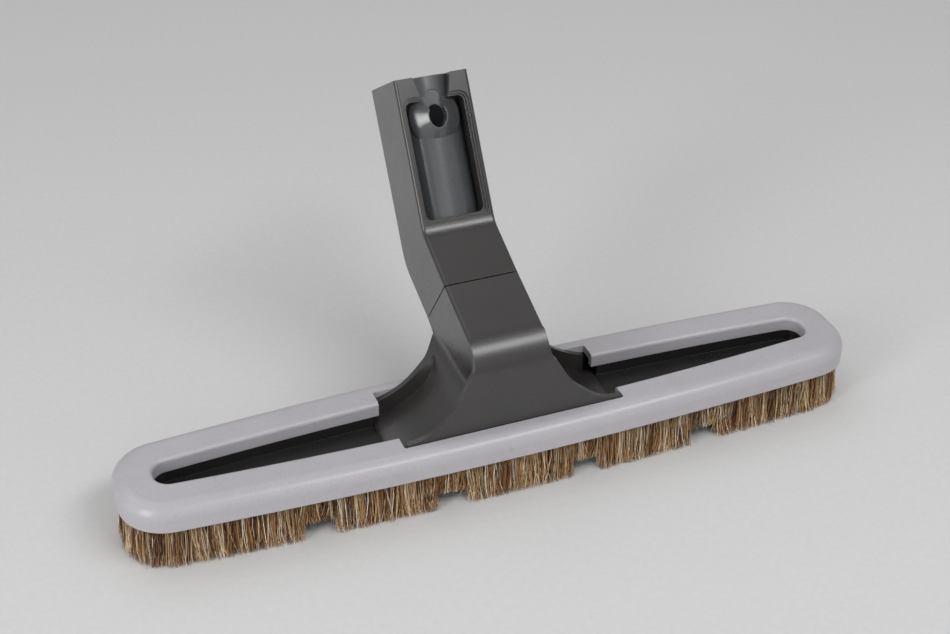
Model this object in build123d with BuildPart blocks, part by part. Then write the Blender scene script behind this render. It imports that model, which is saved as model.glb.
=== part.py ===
from build123d import *
from math import cos, sin, radians, dist
import os

os.makedirs("parts", exist_ok=True)

# A hard-floor brush head for a vacuum cleaner: a boat-shaped head with natural bristles, a flared neck,
# and an angled connector that swivels on the neck and takes a 32 mm wand.
# The origin is on the floor under the middle of the head. X runs along the head and Y towards the user.

below = (Align.CENTER, Align.CENTER, Align.MAX)
above = (Align.CENTER, Align.CENTER, Align.MIN)

# Driving dimensions of the head
head_length = 361.0
head_width = 64.0
head_end_width = 49.9
head_corner = 22.0
bristle_height = 21.3
bumper_height = 12.5
bumper_wall = 2.0
bumper_top = bristle_height + bumper_height

# The long opening in the top of the head, and the black inner wall that shows in it
slot_length = 326.0
slot_width = 28.0
slot_end_width = 15.2
slot_corner = 7.3
bumper_lip_depth = 7.0
rib_thickness = 2.85

# Carrier, sole and bristle strips under the bumper
floor_top = bristle_height
floor_thickness = 2.0
floor_bottom = floor_top - floor_thickness
sole_thickness = 3.5
sole_bottom = floor_bottom - sole_thickness
strip_inset = bumper_wall + 0.1
strip_width = 5.0
strip_bottom = bristle_height + 1.0
strip_height = 5.0
channel_wall_inset = strip_inset + strip_width
channel_wall_thickness = 2.0
bristle_inset = 2.6
bristle_width = 4.0
notch_width = 15.6
notch_depth = 8.4
notch_centres = (-96.3, -33.3, 33.3, 96.3)
strip_split_x = head_length / 2 - 8.0

# Neck with its two flanges, which sit in notches of the bumper
neck_half_width = 18.2
neck_front_corner = 1.6
neck_back_corner = 3.5
flange_half_length = 52.8
flange_face = 22.0
flange_thickness = 2.6
ramp_end = 57.0
mouth_length = 52.0
mouth_width = 27.0
mouth_corner = 6.0

# Swivel: the joint face is a plane across the neck, tilted back
swivel_tilt = 35.1
seam_front = (22.0, 84.7)
seam_depth = 42.0
seam_gap = 0.6
spigot_radius = 14.5
spigot_bore = 12.5
spigot_clearance = 0.08
bulkhead = 6.0
swivel_limit = 90.0
key_arc = 16.0
key_height = 1.2
key_length = 2.4

# Connector: a short leg along the neck, a bend, and the wand socket
leg_slope = 20.0
socket_slope = 57.9
socket_depth = 42.0
bend_front = (50.3, 96.4)
bend_front_radius = 10.0
bend_back_radius = 22.0
socket_reach = 72.2
wand_radius = 16.0
socket_length = 50.0
sleeve_wall = 1.3


def boat(length, width, end_width, corner):
    """A boat-shaped outline: two bowed sides, straight ends and rounded corners."""
    half, middle, end = length / 2, width / 2, end_width / 2
    with BuildSketch() as outline:
        with BuildLine():
            ThreePointArc((-half, -end), (0, -middle), (half, -end))
            Line((half, -end), (half, end))
            ThreePointArc((half, end), (0, middle), (-half, end))
            Line((-half, end), (-half, -end))
        make_face()
        fillet(outline.vertices(), corner)
    return outline.sketch


def head_outline(inset):
    """The outside of the head in plan, moved inwards."""
    trim = 2 * inset
    return boat(head_length - trim, head_width - trim, head_end_width - trim, head_corner - inset)


def slot_outline(margin):
    """The opening in the head in plan, moved outwards."""
    grow = 2 * margin
    return boat(slot_length + grow, slot_width + grow, slot_end_width + grow, slot_corner + margin)


def crossing(point_a, angle_a, point_b, angle_b):
    """Where two lines of the side view meet, each given by a point and an angle in degrees."""
    ax, ay = cos(radians(angle_a)), sin(radians(angle_a))
    bx, by = cos(radians(angle_b)), sin(radians(angle_b))
    dx, dy = point_b[0] - point_a[0], point_b[1] - point_a[1]
    along = (dx * by - dy * bx) / (ax * by - ay * bx)
    return (point_a[0] + along * ax, point_a[1] + along * ay)


def shifted(point, angle, distance):
    """A point of the side view moved a distance at an angle in degrees."""
    return (point[0] + distance * cos(radians(angle)), point[1] + distance * sin(radians(angle)))


def ring_sector(inner, outer, middle_angle, arc):
    """A flat piece of a ring, centred on an angle."""
    start = middle_angle - arc / 2
    with BuildSketch() as sector:
        with BuildLine():
            low = CenterArc((0, 0), inner, start, arc)
            high = CenterArc((0, 0), outer, start, arc)
            Line(low @ 0, high @ 0)
            Line(low @ 1, high @ 1)
        make_face()
    return sector.sketch


# Screws along the rails and at the ends hold the sole to the carrier, and four more hold the neck
screw_radius = 1.45
screw_hole = 1.5
screw_head_radius = 3.0
screw_head_height = 1.8
boss_radius = 3.0
boss_top = bumper_top - 5.5
rail_screw_x = (75.0, 130.0)
slot_end = slot_length / 2 + rib_thickness
wall_end = head_length / 2 - channel_wall_inset - channel_wall_thickness
end_screw_x = (slot_end + wall_end) / 2
neck_screw_x = 38.0
neck_screw_y = 12.0


def rail_middle(x):
    """Halfway across the hollow of a rail, between the slot's rib and the channel wall."""
    slot_bow = (slot_width - slot_end_width) / 2 * (2 * x / slot_length) ** 2
    head_bow = (head_width - head_end_width) / 2 * (2 * x / head_length) ** 2
    inner = slot_width / 2 - slot_bow + rib_thickness
    outer = head_width / 2 - head_bow - channel_wall_inset - channel_wall_thickness
    return (inner + outer) / 2


rail_screws = [
    (sx * x, sy * rail_middle(x)) for x in rail_screw_x for sx in (-1, 1) for sy in (-1, 1)
]
sole_screw_places = rail_screws + [(-end_screw_x, 0.0), (end_screw_x, 0.0)]
neck_screw_places = [(sx * neck_screw_x, sy * neck_screw_y) for sx in (-1, 1) for sy in (-1, 1)]

# Bumper: a soft grey ring, hollow underneath, with a lip round the slot and a notch for each flange
lip_bottom = bumper_top - bumper_lip_depth
cavity_top = bumper_top - 4.0
outer_round = 6.5
slot_round = 1.8
notch_clearance = 0.3
notch_half_length = flange_half_length + 1.4
notch_reach = flange_face + notch_clearance

with BuildPart() as bumper_ring:
    with BuildSketch(Plane.XY.offset(bristle_height)):
        add(head_outline(0))
        add(slot_outline(0), mode=Mode.SUBTRACT)
    extrude(amount=bumper_height)
    top_face = bumper_ring.faces().sort_by(Axis.Z)[-1]
    slot_edges = top_face.inner_wires()[0].edges()
    fillet(top_face.outer_wire().edges(), outer_round)
    fillet(slot_edges, slot_round)
    with BuildSketch(Plane.XY.offset(bristle_height)):
        add(head_outline(bumper_wall))
        add(slot_outline(rib_thickness), mode=Mode.SUBTRACT)
    extrude(amount=cavity_top - bristle_height, mode=Mode.SUBTRACT)
    with BuildSketch(Plane.XY.offset(bristle_height)):
        add(slot_outline(rib_thickness))
    extrude(amount=lip_bottom - bristle_height, mode=Mode.SUBTRACT)
    with BuildSketch(Plane.XY.offset(bristle_height)) as notch:
        Rectangle(2 * notch_half_length, 2 * notch_reach)
        fillet(notch.vertices(), 1.0)
    extrude(amount=bumper_height, mode=Mode.SUBTRACT)
bumper_ring.part.label = "bumper_ring"
export_step(bumper_ring.part, "parts/bumper_ring.step")

# Carrier: the black moulding whose floor shows in the slot, with a rib round the slot and the channel wall
neck_gap_half = ramp_end + 0.3
with BuildPart() as carrier_frame:
    with BuildSketch(Plane.XY.offset(floor_bottom)):
        add(head_outline(channel_wall_inset))
    extrude(amount=floor_thickness)
    with BuildSketch(Plane.XY.offset(floor_top)):
        add(head_outline(channel_wall_inset))
        add(head_outline(channel_wall_inset + channel_wall_thickness), mode=Mode.SUBTRACT)
    extrude(amount=cavity_top - 0.1 - floor_top)
    with BuildSketch(Plane.XY.offset(floor_top)):
        add(slot_outline(rib_thickness))
        add(slot_outline(0), mode=Mode.SUBTRACT)
    extrude(amount=lip_bottom - floor_top)
    with BuildSketch(Plane.XY.offset(floor_top)):
        with Locations(*sole_screw_places):
            Circle(boss_radius)
    extrude(amount=boss_top - floor_top)
    with BuildSketch(Plane.XY.offset(floor_top)):
        Rectangle(2 * neck_gap_half, 2 * (slot_width / 2 + rib_thickness + 1))
        Rectangle(2 * notch_half_length, head_width)
    extrude(amount=bumper_height, mode=Mode.SUBTRACT)
    with BuildSketch(Plane.XY.offset(floor_bottom)):
        RectangleRounded(mouth_length, mouth_width, mouth_corner)
        with Locations(*neck_screw_places):
            Circle(screw_hole + 0.2)
    extrude(amount=floor_thickness, mode=Mode.SUBTRACT)
    with BuildSketch(Plane.XY.offset(floor_bottom)):
        with Locations(*sole_screw_places):
            Circle(screw_hole)
    extrude(amount=boss_top - 1 - floor_bottom, mode=Mode.SUBTRACT)
carrier_frame.part.label = "carrier_frame"
export_step(carrier_frame.part, "parts/carrier_frame.step")

# Sole: the bottom plate, with the suction mouth and a shallow air channel along each half
channel_depth = 1.4
channel_width = 14.0
channel_start = mouth_length / 2 - 2
channel_end = 156.0
with BuildPart() as sole_plate:
    with BuildSketch(Plane.XY.offset(sole_bottom)):
        add(head_outline(channel_wall_inset + 0.3))
        RectangleRounded(mouth_length, mouth_width, mouth_corner, mode=Mode.SUBTRACT)
    extrude(amount=sole_thickness)
    bottom_loop = sole_plate.faces().sort_by(Axis.Z)[0].outer_wire().edges()
    chamfer(bottom_loop, 0.8)
    with BuildSketch(Plane.XY.offset(sole_bottom)):
        with Locations(((channel_start + channel_end) / 2, 0), (-(channel_start + channel_end) / 2, 0)):
            RectangleRounded(channel_end - channel_start, channel_width, 4)
    extrude(amount=channel_depth, mode=Mode.SUBTRACT)
    underside = Plane(origin=(0, 0, sole_bottom), x_dir=(1, 0, 0), z_dir=(0, 0, -1))
    with Locations(underside):
        with Locations(*[(x, -y) for x, y in rail_screws + neck_screw_places]):
            CounterSinkHole(screw_hole + 0.2, screw_head_radius + 0.2, depth=sole_thickness)
        with Locations((end_screw_x, 0), (-end_screw_x, 0)):
            CounterSinkHole(screw_hole + 0.2, screw_head_radius + 0.2, depth=sole_thickness)
sole_plate.part.label = "sole_plate"
export_step(sole_plate.part, "parts/sole_plate.step")


def write_screws(node, places, length):
    """Countersunk cross-head screws, driven upwards from the sole, as one group."""
    with BuildPart() as screws:
        for x, y in places:
            with Locations((x, y, sole_bottom)):
                Cylinder(screw_radius, length, align=above)
                Cone(
                    screw_head_radius,
                    screw_radius,
                    screw_head_height,
                    align=above,
                )
                Box(2.8, 0.6, 1.0, align=above, mode=Mode.SUBTRACT)
                Box(0.6, 2.8, 1.0, align=above, mode=Mode.SUBTRACT)
    screws.part.label = node
    export_step(screws.part, f"parts/{node}.step")


write_screws("sole_screws", sole_screw_places, 11.0)
write_screws("neck_screws", neck_screw_places, 9.5)


# Bristle strips: a plastic back pressed between bumper and carrier, with horsehair set in its underside.
# The rear strip runs on round both ends, and the front one fills the gap between its two tips.
def write_strip(node, inset, width, bottom, height, front, notched):
    """One strip's back or its bristles: a slice of the ring under the bumper."""
    gap = 0 if front else 0.2
    side = Mode.INTERSECT if front else Mode.SUBTRACT
    with BuildPart() as strip:
        with BuildSketch(Plane.XY.offset(bottom)):
            add(head_outline(inset))
            add(head_outline(inset + width), mode=Mode.SUBTRACT)
        extrude(amount=height)
        with BuildSketch(Plane.XY.offset(bottom)):
            with Locations((0, -head_width / 2)):
                Rectangle(2 * (strip_split_x + gap), head_width)
        extrude(amount=height, mode=side)
        if notched:
            with BuildSketch(Plane.XY.offset(bottom)):
                with Locations(*[(x, -head_width / 2) for x in notch_centres]):
                    Rectangle(notch_width, head_width / 2)
            extrude(amount=notch_depth, mode=Mode.SUBTRACT)
    strip.part.label = node
    export_step(strip.part, f"parts/{node}.step")


write_strip("front_strip_back", strip_inset, strip_width, strip_bottom, strip_height, True, False)
write_strip("rear_strip_back", strip_inset, strip_width, strip_bottom, strip_height, False, False)
write_strip("front_bristles", bristle_inset, bristle_width, 0, strip_bottom, True, True)
write_strip("rear_bristles", bristle_inset, bristle_width, 0, strip_bottom, False, False)

# Neck: a hollow moulding, square at the top, that spreads into a front and a rear flange at the bumper.
# Between the flanges a curved ramp on each side runs down to the carrier's floor.
face_lean = 81.4
face_round = 20.0
underside_round = 10.0
skirt_top = bumper_top + 0.6
neck_wall = 3.0
seam_back = shifted(seam_front, swivel_tilt - 90, seam_depth)
seam_centre = ((seam_front[0] + seam_back[0]) / 2, (seam_front[1] + seam_back[1]) / 2)
swivel_plane = Plane(
    origin=(0, seam_centre[0], seam_centre[1]),
    x_dir=(1, 0, 0),
    z_dir=(0, cos(radians(swivel_tilt)), sin(radians(swivel_tilt))),
)
flange_curve = [(flange_half_length, 34.6), (44.2, 36.0), (36.2, 40.8), (27.4, 49.4), (21.2, 60.0)]
flange_curve.append((neck_half_width - 0.1, 73.0))
flange_reach = 60.0
rear_flange_curve = [(flange_half_length, 30.2), (45.0, 33.2), (37.5, 37.5), (30.0, 42.0), (24.0, 44.6)]
rear_flange_curve.append((neck_half_width - 0.1, 47.6))
ramp_curve = [(ramp_end, floor_top), (49.0, 22.5), (40.6, 26.2), (32.6, 32.2), (25.8, 39.6), (20.6, 47.4)]
ramp_curve.append((neck_half_width - 0.1, 54.0))
hopper_curve = [(mouth_length / 2, floor_top), (20.0, 33.0), (neck_half_width - neck_wall, 50.0)]
upper_duct_middle = 65.0
upper_duct_height = 64.0


def neck_side(inset, seam_inset):
    """The neck from the side: front face, seam, underside and rear flange, all moved inwards."""
    top_start = shifted(seam_front, leg_slope - 90, inset)
    base_start = shifted(seam_back, leg_slope + 90, inset)
    seam_start = shifted(seam_front, swivel_tilt + 180, seam_inset)
    face_foot = (inset - flange_face, skirt_top)
    rear_foot = (flange_face - inset, skirt_top)
    shoulder = crossing(face_foot, face_lean, top_start, leg_slope)
    seam_top = crossing(top_start, leg_slope, seam_start, swivel_tilt - 90)
    seam_base = crossing(base_start, leg_slope, seam_start, swivel_tilt - 90)
    heel = crossing(rear_foot, 90, base_start, leg_slope)
    with BuildSketch() as side:
        with BuildLine():
            FilletPolyline(
                (inset - flange_face, floor_top),
                face_foot,
                shoulder,
                seam_top,
                radius=[6.0, face_round - inset],
            )
            Line(seam_top, seam_base)
            FilletPolyline(
                seam_base, heel, (flange_face - inset, floor_top), radius=underside_round + inset
            )
            Line((flange_face - inset, floor_top), (inset - flange_face, floor_top))
        make_face()
    return side.sketch


def flared(curve, foot_slope, top_lean=0.0):
    """Both halves of the front view under a curve that leans out from the neck to its foot."""
    foot, top = curve[0], curve[-1]
    with BuildSketch() as front:
        with BuildLine():
            Spline(*curve, tangents=[(-1.0, foot_slope), (-top_lean, 1.0)])
            Polyline(top, (0, top[1]), (0, floor_top), (foot[0], floor_top))
            if foot[1] > floor_top:
                Line((foot[0], floor_top), foot)
        make_face()
        mirror(about=Plane.YZ)
    return front.sketch


def in_front(edge):
    """True for the neck's long edges on its front and top."""
    middle = edge.center()
    return middle.Y < middle.Z / 2 - 30


def at_back(edge):
    """True for the neck's long edges on its underside and rear."""
    middle = edge.center()
    return middle.Y > 20 and middle.Z < seam_back[1]


def flange(curve, foot_slope, top_lean, rear_end):
    """A thin flared flange: the neck's outer skin, cut to a curve in front of its rear end."""
    with BuildPart() as skin:
        with BuildSketch(Plane.YZ.offset(-flange_half_length)):
            add(neck_side(0, 0))
            add(neck_side(flange_thickness, 0), mode=Mode.SUBTRACT)
        extrude(amount=2 * flange_half_length)
        with BuildSketch(Plane.XZ.offset(-rear_end)):
            add(flared(curve, foot_slope, top_lean))
        extrude(amount=flange_reach, mode=Mode.INTERSECT)
    return skin.part


front_flange = flange(flange_curve, 0.2, 0.0, 0)
rear_flange = flange(rear_flange_curve, 0.3, 2.0, flange_reach)

with BuildPart() as ramps:
    with BuildSketch(Plane.YZ.offset(-ramp_end)):
        add(neck_side(flange_thickness, 0))
    extrude(amount=2 * ramp_end)
    with BuildSketch(Plane.XZ.offset(-head_width)):
        add(flared(ramp_curve, 0.02))
    extrude(amount=2 * head_width, mode=Mode.INTERSECT)

with BuildPart() as neck_void:
    with BuildSketch(Plane.YZ.offset(-mouth_length / 2)):
        add(neck_side(neck_wall, bulkhead))
    extrude(amount=mouth_length)
    with BuildSketch(Plane.XZ.offset(-head_width)):
        add(flared(hopper_curve, 1.5))
        with Locations((0, upper_duct_middle)):
            Rectangle(2 * (neck_half_width - neck_wall), upper_duct_height)
    extrude(amount=2 * head_width, mode=Mode.INTERSECT)

ring_room = 16.2
ring_room_depth = 3.2
seal_depth = 3.4
seal_width = 1.8
seal_outer = 16.0
key_outer = spigot_radius + key_height
with BuildPart() as neck_shell:
    with BuildSketch(Plane.YZ.offset(-neck_half_width)):
        add(neck_side(0, 0))
    extrude(amount=2 * neck_half_width)
    side_edges = neck_shell.edges().filter_by(lambda e: abs(abs(e.center().X) - neck_half_width) < 0.01)
    fillet(side_edges.filter_by(in_front), neck_front_corner)
    side_edges = neck_shell.edges().filter_by(lambda e: abs(abs(e.center().X) - neck_half_width) < 0.01)
    fillet(side_edges.filter_by(at_back), neck_back_corner)
    add(front_flange)
    add(rear_flange)
    add(ramps.part)
    add(neck_void.part, mode=Mode.SUBTRACT)
    with Locations(swivel_plane):
        Cylinder(
            spigot_radius + spigot_clearance,
            bulkhead + 0.2,
            align=below,
            mode=Mode.SUBTRACT,
        )
    with Locations(swivel_plane.offset(-bulkhead)):
        Cylinder(
            ring_room,
            ring_room_depth,
            align=below,
            mode=Mode.SUBTRACT,
        )
    with Locations(swivel_plane.offset(-seal_depth)):
        Cylinder(
            seal_outer,
            seal_width,
            align=below,
            mode=Mode.SUBTRACT,
        )
    with BuildSketch(swivel_plane):
        add(ring_sector(spigot_radius, key_outer + 0.2, -90, 2 * swivel_limit + key_arc + 1))
    extrude(amount=-(key_length + 0.2), mode=Mode.SUBTRACT)
    with BuildSketch(Plane.XY.offset(floor_top)):
        with Locations(*neck_screw_places):
            Circle(screw_hole)
    extrude(amount=4.5, mode=Mode.SUBTRACT)
neck_shell.part.label = "neck_shell"
export_step(neck_shell.part, "parts/neck_shell.step")

# Inside the swivel: a glide washer in the gap, a lip seal and a snap ring behind the bulkhead
washer_inner = 16.2
washer_outer = 17.8
washer_thickness = 0.5
with BuildPart(swivel_plane) as swivel_washer:
    Cylinder(washer_outer, washer_thickness, align=above)
    Cylinder(washer_inner, washer_thickness, align=above, mode=Mode.SUBTRACT)
swivel_washer.part.label = "swivel_washer"
export_step(swivel_washer.part, "parts/swivel_washer.step")

with BuildPart(swivel_plane.offset(-seal_depth)) as swivel_seal:
    Cylinder(seal_outer, seal_width, align=below)
    Cylinder(
        spigot_radius + 0.05,
        seal_width,
        align=below,
        mode=Mode.SUBTRACT,
    )
swivel_seal.part.label = "swivel_seal"
export_step(swivel_seal.part, "parts/swivel_seal.step")

snap_ring_inner = 13.5
snap_ring_outer = 15.8
snap_ring_thickness = 1.1
snap_ring_gap = 24.0
snap_ring_play = 0.1
with BuildPart() as snap_ring:
    with BuildSketch(swivel_plane.offset(-bulkhead - snap_ring_play)):
        add(ring_sector(snap_ring_inner, snap_ring_outer, 90, 360 - snap_ring_gap))
    extrude(amount=-snap_ring_thickness)
snap_ring.part.label = "snap_ring"
export_step(snap_ring.part, "parts/snap_ring.step")

# Connector: a bent square tube that turns on the neck, with a window over the round wand sleeve
socket_direction = (0, cos(radians(socket_slope)), sin(radians(socket_slope)))
rim_front = shifted(bend_front, socket_slope, socket_reach)
rim_back = shifted(rim_front, socket_slope - 90, socket_depth)
rim_centre = shifted(rim_front, socket_slope - 90, socket_depth / 2)
leg_foot_front = crossing(
    seam_front, leg_slope, shifted(seam_front, swivel_tilt, seam_gap), swivel_tilt - 90
)
leg_foot_back = crossing(
    seam_back, leg_slope, shifted(seam_back, swivel_tilt, seam_gap), swivel_tilt - 90
)
bend_back = crossing(rim_back, socket_slope, seam_back, leg_slope)
bend_centre = crossing(rim_centre, socket_slope, seam_centre, leg_slope)
bend_depth = dist(rim_centre, bend_centre)
leg_length = dist(seam_centre, bend_centre)
leg_duct_start = 4.0
socket_plane = Plane(
    origin=(0, rim_centre[0], rim_centre[1]), x_dir=(1, 0, 0), z_dir=socket_direction
)
front_plane = Plane(
    origin=(0, rim_front[0], rim_front[1]),
    x_dir=(1, 0, 0),
    z_dir=(0, -sin(radians(socket_slope)), cos(radians(socket_slope))),
)
leg_plane = Plane(
    origin=(0, seam_centre[0], seam_centre[1]),
    x_dir=(1, 0, 0),
    z_dir=(0, cos(radians(leg_slope)), sin(radians(leg_slope))),
)

# The window in the connector's front: two shallow steps round an opening that shows the sleeve
window_top = 9.3
window_bottom = 68.5
window_middle = -(window_top + window_bottom) / 2
window_steps = [(32.6, 1.1, 4.6), (30.6, 2.3, 3.8)]
window_width = 28.8
window_corner = 3.0
window_margin = (window_steps[0][0] - window_width) / 2
window_length = window_bottom - window_top - 2 * window_margin
trough_foot = -window_top - window_margin - 2
trough_width = 18.9
trough_foot_width = 12.6
sleeve_radius = wand_radius + sleeve_wall
sleeve_seat = sleeve_radius + 0.05
sleeve_length = window_bottom - window_margin
duct_radius = 13.5
latch_depth = 19.1
latch_width = 8.6
latch_height = 11.3
spigot_end = bulkhead + ring_room_depth
spigot_seat_depth = 4.0
spigot_seat_radius = spigot_radius + 0.05

front_side = 43.0
back_side = 20.0
with BuildPart() as connector_body:
    with BuildSketch(Plane.YZ.offset(-neck_half_width)):
        with BuildLine():
            FilletPolyline(leg_foot_front, bend_front, rim_front, radius=bend_front_radius)
            Line(rim_front, rim_back)
            FilletPolyline(rim_back, bend_back, leg_foot_back, radius=bend_back_radius)
            Line(leg_foot_back, leg_foot_front)
        make_face()
    extrude(amount=2 * neck_half_width)
    side_edges = connector_body.edges().filter_by(
        lambda e: abs(abs(e.center().X) - neck_half_width) < 0.01
    )
    fillet(side_edges.filter_by(lambda e: e.center().Z - e.center().Y > front_side), neck_front_corner)
    side_edges = connector_body.edges().filter_by(
        lambda e: abs(abs(e.center().X) - neck_half_width) < 0.01
    )
    fillet(side_edges.filter_by(lambda e: e.center().Z - e.center().Y < back_side), neck_back_corner)
    # air duct: down from the sleeve, round the bend and along the leg to the spigot
    with Locations(socket_plane):
        Cylinder(duct_radius, bend_depth, align=below, mode=Mode.SUBTRACT)
        Cylinder(sleeve_seat, sleeve_length + 0.1, align=below, mode=Mode.SUBTRACT)
    with Locations((0, bend_centre[0], bend_centre[1])):
        Sphere(duct_radius, mode=Mode.SUBTRACT)
    with Locations(leg_plane.offset(leg_duct_start)):
        Cylinder(duct_radius, leg_length - leg_duct_start, align=above, mode=Mode.SUBTRACT)
    # window over the sleeve, and the trough that leads from the rim to the latch hole
    for step_width, step_depth, step_corner in window_steps:
        grow = step_width - window_width
        with BuildSketch(front_plane):
            with Locations((0, window_middle)):
                RectangleRounded(step_width, window_length + grow, step_corner)
        extrude(amount=-step_depth, mode=Mode.SUBTRACT)
    with BuildSketch(front_plane):
        with Locations((0, window_middle)):
            RectangleRounded(window_width, window_length, window_corner)
    extrude(amount=-socket_depth / 2, mode=Mode.SUBTRACT)
    with BuildSketch(front_plane):
        with BuildLine():
            Polyline(
                (-trough_width / 2, 1),
                (trough_width / 2, 1),
                (trough_foot_width / 2, trough_foot),
                (-trough_foot_width / 2, trough_foot),
                close=True,
            )
        make_face()
    extrude(amount=-socket_depth / 4, mode=Mode.SUBTRACT)
    # seat for the spigot in the foot
    with Locations(swivel_plane.offset(seam_gap + spigot_seat_depth)):
        Cylinder(spigot_seat_radius, spigot_seat_depth + 1, align=below, mode=Mode.SUBTRACT)
connector_body.part.label = "connector_body"
export_step(connector_body.part, "parts/connector_body.step")

# Spigot: the tube pressed into the connector's foot, which turns in the neck's bulkhead.
# It has a groove for the snap ring and a key that runs in the neck's arc groove and stops at its ends.
with BuildPart() as swivel_spigot:
    with Locations(swivel_plane.offset(seam_gap + spigot_seat_depth)):
        Cylinder(spigot_radius, spigot_end + seam_gap + spigot_seat_depth, align=below)
    with BuildSketch(swivel_plane.offset(seam_gap)):
        add(ring_sector(spigot_radius - 0.3, key_outer, -90, key_arc))
    extrude(amount=-(key_length + seam_gap))
    with Locations(swivel_plane.offset(seam_gap + spigot_seat_depth)):
        Cylinder(
            spigot_bore,
            spigot_end + seam_gap + spigot_seat_depth,
            align=below,
            mode=Mode.SUBTRACT,
        )
    with BuildSketch(swivel_plane.offset(-bulkhead)):
        Circle(spigot_radius)
        Circle(snap_ring_inner - 0.05, mode=Mode.SUBTRACT)
    extrude(amount=-(snap_ring_thickness + 2 * snap_ring_play), mode=Mode.SUBTRACT)
swivel_spigot.part.label = "swivel_spigot"
export_step(swivel_spigot.part, "parts/swivel_spigot.step")

# Sleeve: the round socket for the wand, with a raised boss round its latch hole
boss_drop = 0.4
boss_spread = 8.2
boss_rim = 0.5
boss_depth = 6.0
ramp_width = 7.4
ramp_start = 6.4
ramp_depth = 4.4
with BuildPart() as socket_sleeve:
    with Locations(socket_plane):
        Cylinder(sleeve_radius, sleeve_length, align=below)
    # the cone round the latch hole, which keeps the hole's oval shape all the way down
    for drop, widen in ((boss_drop, boss_rim), (boss_drop + boss_depth, boss_spread)):
        with BuildSketch(front_plane.offset(-drop)):
            with Locations((0, -latch_depth)):
                Ellipse(latch_width / 2 + widen, latch_height / 2 + widen)
    loft(ruled=True)
    with Locations(socket_plane):
        Cylinder(wand_radius, socket_length, align=below, mode=Mode.SUBTRACT)
        Cylinder(duct_radius, sleeve_length, align=below, mode=Mode.SUBTRACT)
    # the ramp that guides the wand's spring button down to the latch hole
    ramp_length = latch_depth - ramp_start
    with BuildSketch(front_plane) as button_ramp:
        with Locations((0, -ramp_start - ramp_length / 2)):
            Rectangle(ramp_width, ramp_length)
        fillet(button_ramp.vertices().group_by(Axis.Y)[-1], 0.45 * ramp_width)
    extrude(amount=-ramp_depth, mode=Mode.SUBTRACT)
    with BuildSketch(front_plane):
        with Locations((0, -latch_depth)):
            Ellipse(latch_width / 2, latch_height / 2)
    extrude(amount=-socket_depth / 3, mode=Mode.SUBTRACT)
socket_sleeve.part.label = "socket_sleeve"
export_step(socket_sleeve.part, "parts/socket_sleeve.step")
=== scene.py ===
import math

import bpy
import numpy as np
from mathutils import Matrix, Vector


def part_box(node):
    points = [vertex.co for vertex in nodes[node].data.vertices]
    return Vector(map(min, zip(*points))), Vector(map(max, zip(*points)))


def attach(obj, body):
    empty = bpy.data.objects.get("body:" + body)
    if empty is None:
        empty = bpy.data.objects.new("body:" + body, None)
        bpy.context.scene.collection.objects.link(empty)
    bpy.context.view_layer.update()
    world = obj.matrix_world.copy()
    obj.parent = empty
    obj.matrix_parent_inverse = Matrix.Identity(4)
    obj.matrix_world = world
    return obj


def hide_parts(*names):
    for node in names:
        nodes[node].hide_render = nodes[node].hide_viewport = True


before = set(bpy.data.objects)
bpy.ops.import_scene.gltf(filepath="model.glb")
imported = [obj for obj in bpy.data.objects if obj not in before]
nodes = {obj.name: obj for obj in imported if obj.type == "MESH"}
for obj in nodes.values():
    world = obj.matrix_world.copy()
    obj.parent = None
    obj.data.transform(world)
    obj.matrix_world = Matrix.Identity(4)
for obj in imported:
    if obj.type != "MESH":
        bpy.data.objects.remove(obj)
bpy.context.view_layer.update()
scene = bpy.context.scene
mm = 0.001

# Sole: the black bottom plate of the head, injection moulded in polypropylene, with a shallow air channel
# along each half. Its underside is scuffed by grit, so its gloss comes and goes.


def srgb(code):
    """Linear colour of an sRGB hex value: each channel through the sRGB curve, with alpha 1."""
    channel = np.array([int(code[i:i + 2], 16) for i in (0, 2, 4)]) / 255
    linear = np.where(channel <= 0.04045, channel / 12.92, ((channel + 0.055) / 1.055) ** 2.4)
    return (*linear.tolist(), 1.0)


def add_node(material, kind, settings=None, links=None, **values):
    """Adds a shader node with its settings, its input values, and its inputs' links from other outputs."""
    tree = material.node_tree
    made = tree.nodes.new(kind)
    for name, value in (settings or {}).items():
        setattr(made, name, value)
    for name, value in values.items():
        made.inputs[name.replace("_", " ")].default_value = value
    for name, output in (links or {}).items():
        tree.links.new(output, made.inputs[name])
    return made


def shaded(name, **values):
    """An empty material and its Principled shader, with the constants set on the shader's own sockets."""
    material = bpy.data.materials.new(name)
    material.use_nodes = True
    shader = material.node_tree.nodes["Principled BSDF"]
    for socket, value in values.items():
        shader.inputs[socket.replace("_", " ")].default_value = value
    return material, shader


def ramp(material, factor, stops):
    """A colour ramp through (place, sRGB hex) stops, driven by one output."""
    made = add_node(material, "ShaderNodeValToRGB", links={"Fac": factor})
    scale = made.color_ramp.elements
    while len(scale) < len(stops):
        scale.new(0.5)
    for element, (place, code) in zip(scale, stops):
        element.position = place
        element.color = srgb(code)
    return made.outputs["Color"]


def spread(material, factor, low, high):
    """Maps an output's 0.3 to 0.7 on to low to high."""
    made = add_node(
        material, "ShaderNodeMapRange", links={"Value": factor},
        From_Min=0.3, From_Max=0.7, To_Min=low, To_Max=high,
    )
    return made.outputs["Result"]


def noise(material, place, size, detail=2.0, roughness=0.5):
    """Noise whose features are about size across, in metres."""
    made = add_node(
        material, "ShaderNodeTexNoise", links={"Vector": place},
        Scale=1 / size, Detail=detail, Roughness=roughness,
    )
    return made.outputs["Fac"]


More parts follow.
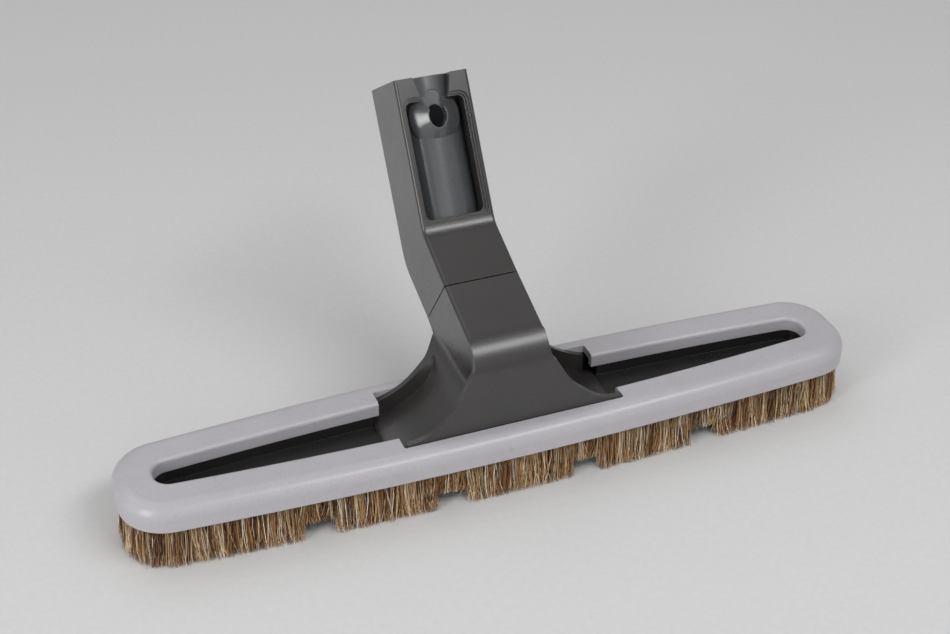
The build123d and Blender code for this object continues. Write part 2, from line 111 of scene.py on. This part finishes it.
def moulded(name, shades, gloss, grain, grain_depth, edge, specks, ior=1.5):
    """Moulded plastic: cloudy colour, spark-eroded grain in the bump, worn gloss and faint dust.

    shades are two sRGB colours, gloss the least and most roughness, grain the grain's width and
    grain_depth its height, edge the radius that the mould leaves on sharp edges, all in metres.
    """
    material, shader = shaded(name, IOR=ior)
    links = material.node_tree.links
    place = add_node(material, "ShaderNodeTexCoord").outputs["Object"]
    cloud = noise(material, place, 30 * mm, detail=4.0, roughness=0.6)
    colour = ramp(material, cloud, [(0.3, shades[0]), (0.7, shades[1])])
    fine = noise(material, place, grain, detail=3.0, roughness=0.6)
    tinted = add_node(
        material, "ShaderNodeMix", {"data_type": "RGBA", "blend_type": "MULTIPLY"}
    )
    tinted.inputs[0].default_value = 0.5
    links.new(colour, tinted.inputs[6])
    links.new(ramp(material, fine, [(0.3, "DADADA"), (0.7, "FFFFFF")]), tinted.inputs[7])
    dust = add_node(
        material, "ShaderNodeTexVoronoi", {"feature": "F1"}, {"Vector": place}, Scale=1 / (9 * mm)
    ).outputs["Distance"]
    spot = add_node(
        material, "ShaderNodeMapRange", links={"Value": dust},
        From_Min=specks * 0.6, From_Max=specks, To_Min=0.3, To_Max=0.0,
    ).outputs["Result"]
    dusty = add_node(material, "ShaderNodeMix", {"data_type": "RGBA"})
    links.new(spot, dusty.inputs[0])
    links.new(tinted.outputs[2], dusty.inputs[6])
    dusty.inputs[7].default_value = srgb("B9B4AA")
    links.new(dusty.outputs[2], shader.inputs["Base Color"])
    wear = noise(material, place, 12 * mm, detail=5.0, roughness=0.7)
    links.new(spread(material, wear, *gloss), shader.inputs["Roughness"])
    rounded = add_node(material, "ShaderNodeBevel", {"samples": 4}, Radius=edge).outputs["Normal"]
    bump = add_node(
        material, "ShaderNodeBump", links={"Height": fine, "Normal": rounded},
        Strength=0.9, Distance=grain_depth,
    )
    links.new(bump.outputs["Normal"], shader.inputs["Normal"])
    return material


def finish_with(material, *names):
    """Gives CAD nodes one material in every slot."""
    for name in names:
        mesh = nodes[name].data
        mesh.materials.clear()
        mesh.materials.append(material)


black_plastic = moulded(
    "black_moulded_polypropylene", ("161617", "1D1D1E"), (0.30, 0.46), 0.5 * mm, 0.02 * mm, 0.3 * mm, 0.02
)
finish_with(black_plastic, "sole_plate")

# Carrier: the black moulding whose floor and rib show through the long opening in the head. It is the same
# polypropylene as the sole, but polished, so it takes soft reflections.
polished_black = moulded(
    "black_polished_polypropylene", ("19191A", "202021"), (0.24, 0.38), 0.9 * mm, 0.008 * mm, 0.3 * mm, 0.016
)
finish_with(polished_black, "carrier_frame")

# Screws: zinc-plated steel with a cross recess, driven upwards from the sole into the carrier and the neck.
# The plating gives a pale bluish metal with faint turning rings.
zinc, shader = shaded("zinc_plated_steel", Metallic=1.0)
place = add_node(zinc, "ShaderNodeTexCoord").outputs["Object"]
tarnish = noise(zinc, place, 2 * mm, detail=4.0)
plating = ramp(zinc, tarnish, [(0.35, "9A9CA0"), (0.65, "C4C6C8")])
zinc.node_tree.links.new(plating, shader.inputs["Base Color"])
zinc.node_tree.links.new(spread(zinc, tarnish, 0.25, 0.5), shader.inputs["Roughness"])
rings = add_node(
    zinc, "ShaderNodeTexNoise", links={"Vector": place}, Scale=1 / (0.3 * mm), Detail=2.0
).outputs["Fac"]
bump = add_node(zinc, "ShaderNodeBump", links={"Height": rings}, Strength=0.5, Distance=0.01 * mm)
zinc.node_tree.links.new(bump.outputs["Normal"], shader.inputs["Normal"])
finish_with(zinc, "sole_screws", "neck_screws")

# Bristle strips: a dark brown plastic back in each, gripped between bumper and carrier, into which tufts of
# horsehair are stapled. The back is dull and slightly ribbed.
strip_back = moulded(
    "brown_strip_plastic", ("2A241E", "352D25"), (0.5, 0.65), 0.8 * mm, 0.03 * mm, 0.2 * mm, 0.01
)
finish_with(strip_back, "front_strip_back", "rear_strip_back")

# Bristles: natural horsehair, cream, tan, brown and black mixed, cut to one length after it is set. The
# hairs lean and cross, stand out at the tips, and leave short notches in the front row for coarse dirt.
corner_radius = 22 * mm
end_half_width = 24.95 * mm
bumper_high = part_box("bumper_ring")[1]
half_length = bumper_high.x
half_width = bumper_high.y
split_x = half_length - 8 * mm
root_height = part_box("front_bristles")[1].z
notch_centres = np.array([-96.3, -33.3, 33.3, 96.3]) * mm
notch_half = 7.8 * mm
notch_height = 8.4 * mm
strip_inset = 2.7 * mm
strip_depth = 3.8 * mm


def outline_quarter(distance):
    """Point and outward direction at a distance along the head's outline, from the middle of a long side to
    the middle of an end: first the side's arc, then the corner's arc, then the straight end."""
    sag = half_width - end_half_width
    side_radius = (half_length**2 + sag**2) / (2 * sag)
    side_centre = half_width - side_radius
    corner_x = half_length - corner_radius
    corner_y = side_centre + math.sqrt((side_radius - corner_radius) ** 2 - corner_x**2)
    turn = math.atan2(corner_x, corner_y - side_centre)
    side_run = side_radius * turn
    corner_run = corner_radius * (math.pi / 2 - turn)
    angle = np.where(
        distance < side_run, distance / side_radius,
        turn + np.clip(distance - side_run, 0, corner_run) / corner_radius,
    )
    out_x, out_y = np.sin(angle), np.cos(angle)
    on_side = distance < side_run
    x = np.where(on_side, side_radius * out_x, corner_x + corner_radius * out_x)
    y = np.where(on_side, side_centre + side_radius * out_y, corner_y + corner_radius * out_y)
    y = y - np.clip(distance - side_run - corner_run, 0, None)
    return x, y, out_x, out_y, side_run + corner_run + corner_y


def hair_field(count, keep, seed):
    """Roots of count hairs, spread evenly along the outline and across the strip, that keep picks."""
    chance = np.random.default_rng(seed)
    run = outline_quarter(np.zeros(1))[4]
    x, y, out_x, out_y, _ = outline_quarter(chance.uniform(0, run, 3 * count))
    side = chance.choice([-1.0, 1.0], (2, 3 * count))
    inset = chance.uniform(strip_inset, strip_inset + strip_depth, 3 * count)
    root = np.stack([side[0] * (x - inset * out_x), side[1] * (y - inset * out_y)], 1)
    out = np.stack([side[0] * out_x, side[1] * out_y], 1)
    chosen = np.flatnonzero(keep(root))[:count]
    return root[chosen], out[chosen], inset[chosen], chance


def hair_row(name, root, out, inset, chance, notched):
    """Each hair is a three-sided taper through rings at four heights, from its root to its cut tip. A ring's
    middle is the root, plus a lean that grows with the square of the way down, plus a bow that is
    greatest halfway, and its corners are the middle plus the radius at three angles."""
    count = len(root)
    along = np.stack([-out[:, 1], out[:, 0]], 1)
    outer = 1 - (inset - strip_inset) / strip_depth
    wave = np.sin(root @ np.array([410.0, 260.0])) * np.sin(root @ np.array([-173.0, 531.0]))
    lean = chance.normal(0, 1.6 * mm, count) + 1.8 * mm * wave
    flare = 2.0 * mm * outer**2 + chance.normal(0, 0.6 * mm, count)
    bow = chance.normal(0, 0.7 * mm, (2, count))
    tip = np.abs(chance.normal(0, 0.7 * mm, count)) + np.where(chance.random(count) < 0.06, 2.0 * mm, 0)
    if notched:
        short = np.min(np.abs(root[:, :1] - notch_centres), 1) < notch_half
        tip = np.where(short, notch_height + chance.normal(0, 0.5 * mm, count), tip)
        flare = np.where(short, 0.4 * flare, flare)
    thick = chance.uniform(0.13 * mm, 0.24 * mm, count)
    levels = np.array([0.0, 0.36, 0.72, 1.0])
    taper = np.array([1.0, 0.95, 0.75, 0.35])
    spin = chance.uniform(0, 2 * math.pi, count)[:, None] + np.arange(3) * 2 * math.pi / 3
    swept = lean[:, None, None] * along[:, None, :] + flare[:, None, None] * out[:, None, :]
    bowed = bow[0][:, None, None] * along[:, None, :] + bow[1][:, None, None] * out[:, None, :]
    across = (
        root[:, None, :]
        + levels[None, :, None] ** 2 * swept
        + np.sin(math.pi * levels)[None, :, None] * bowed
    )
    height = root_height + levels[None, :] * (tip[:, None] - root_height)
    radius = thick[:, None, None] * taper[None, :, None]
    ring = np.zeros((count, 4, 3, 3))
    ring[..., 0] = across[:, :, None, 0] + radius * np.cos(spin)[:, None, :]
    ring[..., 1] = across[:, :, None, 1] + radius * np.sin(spin)[:, None, :]
    ring[..., 2] = height[:, :, None]
    start = (np.arange(count) * 12)[:, None, None]
    low = start + (np.arange(3) * 3)[None, :, None]
    corner = np.arange(3)[None, None, :]
    turned = (corner + 1) % 3
    quads = np.stack([low + corner, low + turned, low + 3 + turned, low + 3 + corner], -1)[..., ::-1]
    caps = np.concatenate([start[:, 0] + np.array([0, 1, 2]), start[:, 0] + np.array([11, 10, 9])])[:, ::-1]
    quads, points = quads.reshape(-1, 4), ring.reshape(-1, 3)
    mesh = bpy.data.meshes.new(name)
    mesh.vertices.add(len(points))
    mesh.vertices.foreach_set("co", points.ravel())
    mesh.loops.add(quads.size + caps.size)
    mesh.loops.foreach_set("vertex_index", np.concatenate([quads.ravel(), caps.ravel()]))
    mesh.polygons.add(len(quads) + len(caps))
    starts = np.concatenate([np.arange(len(quads)) * 4, quads.size + np.arange(len(caps)) * 3])
    mesh.polygons.foreach_set("loop_start", starts)
    mesh.update(calc_edges=True)
    mesh.validate()
    mesh.shade_smooth()
    tint = np.clip(0.52 + 0.22 * wave + chance.normal(0, 0.3, count), 0, 1)
    tone = mesh.attributes.new("hair_tint", "FLOAT", "POINT")
    tone.data.foreach_set("value", np.repeat(tint, 12).astype(np.float32))
    piece = bpy.data.objects.new(name, mesh)
    scene.collection.objects.link(piece)
    mesh.materials.append(horsehair)
    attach(piece, "head")
    return piece


horsehair, shader = shaded("mixed_horsehair", IOR=1.55, Roughness=0.42)
tint = add_node(horsehair, "ShaderNodeAttribute", {"attribute_name": "hair_tint"}).outputs["Fac"]
hair_colour = ramp(
    horsehair, tint,
    [
        (0.0, "2A1A10"), (0.2, "5C3A22"), (0.38, "915F36"),
        (0.56, "BC8C55"), (0.76, "DFC18C"), (1.0, "FFF6E2"),
    ],
)
place = add_node(horsehair, "ShaderNodeTexCoord").outputs["Object"]
drop = add_node(horsehair, "ShaderNodeSeparateXYZ", links={"Vector": place}).outputs["Z"]
# Painted shade: the hair colour is darkened from the tips up to the roots, to 0.68 at the root height, where
# the hair sits under the bumper. The noise streaks multiplied in with it are the hair's own tone.
painted_root_shade = add_node(
    horsehair, "ShaderNodeMapRange", links={"Value": drop},
    From_Min=4 * mm, From_Max=root_height, To_Min=1.0, To_Max=0.68,
).outputs["Result"]
streak = spread(horsehair, noise(horsehair, place, 3 * mm, detail=2.0), 0.85, 1.1)
root_shade_and_streak = add_node(horsehair, "ShaderNodeMath", {"operation": "MULTIPLY"})
horsehair.node_tree.links.new(painted_root_shade, root_shade_and_streak.inputs[0])
horsehair.node_tree.links.new(streak, root_shade_and_streak.inputs[1])
darker = add_node(
    horsehair, "ShaderNodeVectorMath", {"operation": "SCALE"},
    {"Vector": hair_colour, "Scale": root_shade_and_streak.outputs[0]},
)
horsehair.node_tree.links.new(darker.outputs["Vector"], shader.inputs["Base Color"])


def in_front_row(root):
    """True for roots of the front strip, which fills the front between the tips of the rear strip."""
    return (root[:, 1] < 0) & (np.abs(root[:, 0]) < split_x)


def in_rear_row(root):
    """True for roots of the rear strip, which runs along the rear and round both ends."""
    return ~in_front_row(root)


front_hair = hair_row("front_horsehair", *hair_field(11500, in_front_row, 11), notched=True)
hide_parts("front_bristles")
rear_hair = hair_row("rear_horsehair", *hair_field(12000, in_rear_row, 12), notched=False)
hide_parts("rear_bristles")

# Bumper: a soft ring moulded in light violet-grey thermoplastic rubber, so that the head doesn't mark
# furniture. The skin is satin, with hardly any grain, and lets a little light in.
soft_bumper = moulded(
    "grey_thermoplastic_rubber", ("B4B1B6", "BAB7BC"), (0.27, 0.37), 0.6 * mm, 0.005 * mm, 0.4 * mm, 0.012
)
rubber = soft_bumper.node_tree.nodes["Principled BSDF"].inputs
rubber["Subsurface Weight"].default_value = 0.08
rubber["Subsurface Radius"].default_value = (2 * mm, 2 * mm, 2 * mm)
finish_with(soft_bumper, "bumper_ring")

# Neck: the flared anthracite moulding that carries the air from the head to the swivel. The mould was spark
# eroded, which gives an even sparkling grain where light falls along the bend.
anthracite = moulded(
    "anthracite_grained_abs", ("2C2A29", "33302F"), (0.26, 0.34), 0.6 * mm, 0.11 * mm, 0.45 * mm, 0.02
)


def polish(material, weight, roughness):
    """Adds the thin glossy skin that a polished mould leaves, as a constant coat."""
    inputs = material.node_tree.nodes["Principled BSDF"].inputs
    inputs["Coat Weight"].default_value = weight
    inputs["Coat Roughness"].default_value = roughness


polish(anthracite, 0.7, 0.24)
finish_with(anthracite, "neck_shell", "connector_body", "swivel_spigot")

# Swivel: a glide washer in the joint's gap, a rubber lip seal behind the bulkhead and a spring steel ring
# that holds the spigot in.
acetal = moulded("black_acetal", ("1E1E1F", "262627"), (0.3, 0.4), 0.4 * mm, 0.005 * mm, 0.1 * mm, 0.01)
finish_with(acetal, "swivel_washer")
seal_rubber = moulded(
    "black_seal_rubber", ("151515", "1B1B1B"), (0.6, 0.75), 0.3 * mm, 0.01 * mm, 0.2 * mm, 0.02
)
finish_with(seal_rubber, "swivel_seal")
finish_with(zinc, "snap_ring")

# Sleeve: the round socket for the wand, moulded in the same anthracite with a smoother, glossier skin. Its
# base colour is painted lighter than the neck's anthracite, as painted sheen for the reflections on that
# skin.
satin = moulded(
    "anthracite_satin_abs_painted_sheen", ("47494B", "4F5153"), (0.22, 0.30), 0.5 * mm, 0.02 * mm, 0.4 * mm, 0.015
)
polish(satin, 1.0, 0.2)
finish_with(satin, "socket_sleeve")

# Floor and light: a pale sheet of card under large soft lights, as on a small product table. One light in
# front and above shines along the bends, and one at the left along the sleeve.
floor_size = 3.0
floor_mesh = bpy.data.meshes.new("floor")
floor_corners = np.array([(-1, -1, 0), (1, -1, 0), (1, 1, 0), (-1, 1, 0)]) * floor_size
floor_mesh.from_pydata(floor_corners.tolist(), [], [(0, 1, 2, 3)])
floor = bpy.data.objects.new("floor", floor_mesh)
scene.collection.objects.link(floor)
card, shader = shaded("pale_card", Roughness=0.75)
place = add_node(card, "ShaderNodeTexCoord").outputs["Object"]
mottle = noise(card, place, 3 * mm, detail=4.0)
card.node_tree.links.new(ramp(card, mottle, [(0.3, "D1D1D1"), (0.7, "D5D5D5")]), shader.inputs["Base Color"])
floor_mesh.materials.append(card)


def soft_light(name, place, target, size, power, colour):
    """A rectangular area light at a place, turned to face a target."""
    data = bpy.data.lights.new(name, "AREA")
    data.shape = "RECTANGLE"
    data.size, data.size_y = size
    data.energy = power
    data.color = srgb(colour)[:3]
    lamp = bpy.data.objects.new(name, data)
    scene.collection.objects.link(lamp)
    direction = Vector(target) - Vector(place)
    lamp.location = place
    lamp.rotation_euler = direction.to_track_quat("-Z", "Y").to_euler()


soft_light("overhead_light", (-0.4, 1.0, 2.1), (0, 0.2, 0.0), (2.4, 1.8), 9.0, "FFFFFF")
soft_light("bend_light", (0.37, -0.62, 1.02), (0, 0.1, 0.1), (0.8, 0.3), 5.6, "FFFFFF")
soft_light("left_light", (-1.07, -0.5, 0.5), (0, 0.1, 0.1), (0.35, 0.8), 6.5, "FFFFFF")
soft_light("front_light", (-0.2, -1.9, 0.85), (0, 0, 0.05), (1.6, 1.0), 3.0, "FFFFFF")
world = bpy.data.worlds.new("studio")
world.use_nodes = True
world.node_tree.nodes["Background"].inputs["Color"].default_value = srgb("EFEFEF")
world.node_tree.nodes["Background"].inputs["Strength"].default_value = 0.44
scene.world = world
scene.view_settings.view_transform = "Standard"

# Camera: in front, to the left and above, looking down at the joint.
camera_data = bpy.data.cameras.new("camera")
camera_data.sensor_width = 36.0
camera_data.lens = 64.933
camera = bpy.data.objects.new("camera", camera_data)
scene.collection.objects.link(camera)
camera.location = (-0.25257, -0.58828, 0.51281)
azimuth, elevation, roll = math.radians(22.2237), math.radians(34.2251), math.radians(0.8358)
turned = Matrix.Rotation(-azimuth, 3, "Z") @ Matrix.Rotation(math.pi / 2 - elevation, 3, "X")
camera.rotation_euler = (turned @ Matrix.Rotation(roll, 3, "Z")).to_euler()
scene.camera = camera
